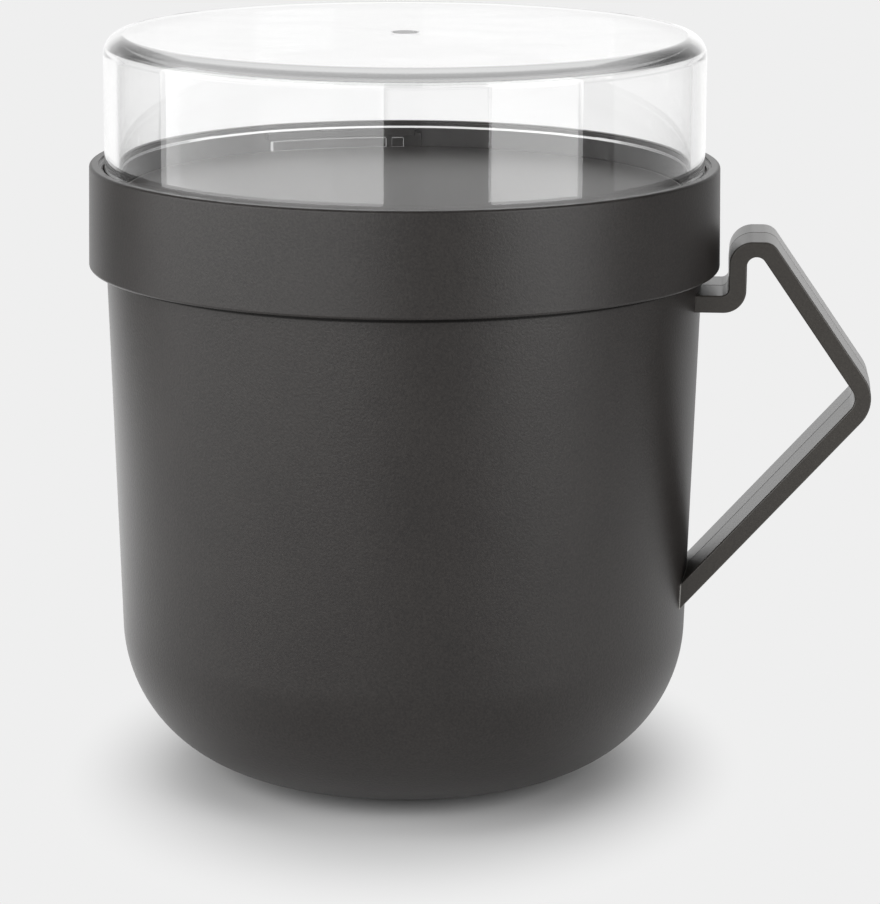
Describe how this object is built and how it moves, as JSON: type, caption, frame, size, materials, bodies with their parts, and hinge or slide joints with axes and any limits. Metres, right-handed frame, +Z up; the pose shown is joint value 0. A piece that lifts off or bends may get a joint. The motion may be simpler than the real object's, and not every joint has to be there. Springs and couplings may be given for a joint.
{
  "type": "soup mug",
  "caption": "Straight-sided soup mug with a soft round foot, an angular strap handle, a twist-lock lid with a shallow topping tray, and a clear twist-lock cap over the tray.",
  "frame": {"origin": "on the table under the axis of the cup, in the plane of the foot ring", "axes": "+Z up along the axis of the cup, +X towards the handle"},
  "size_m": [0.1378, 0.111, 0.1324],
  "materials": {
    "cup_plastic": "dark grey polypropylene, fine spark texture",
    "handle_plastic": "dark grey polypropylene, satin",
    "lid_seal_silicone": "translucent silicone",
    "lid_plastic": "dark grey polypropylene, fine spark texture",
    "cap_seal_silicone": "translucent silicone",
    "cap_clear": "clear, polished"
  },
  "bodies": {
    "mug": {"cup": "cup_plastic", "handle": "handle_plastic"},
    "lid_ring": {"lid_seal": "lid_seal_silicone"},
    "lid_body": {"lid": "lid_plastic"},
    "cap_ring": {"cap_seal": "cap_seal_silicone"},
    "cap_body": {"cap": "cap_clear"}
  },
  "joints": [
    {"name": "lid_lift", "type": "slide", "parent": "mug", "child": "lid_ring", "axis": [0, 0, 1], "range_m": [0, 0.06]},
    {"name": "lid_turn", "type": "hinge", "parent": "lid_ring", "child": "lid_body", "pos_m": [0, 0, 0.1], "axis": [0, 0, 1], "range_deg": [0, 42]},
    {"name": "cap_lift", "type": "slide", "parent": "lid_body", "child": "cap_ring", "axis": [0, 0, 1], "range_m": [0, 0.045]},
    {"name": "cap_turn", "type": "hinge", "parent": "cap_ring", "child": "cap_body", "pos_m": [0, 0, 0.11], "axis": [0, 0, 1], "range_deg": [0, 31]}
  ]
}
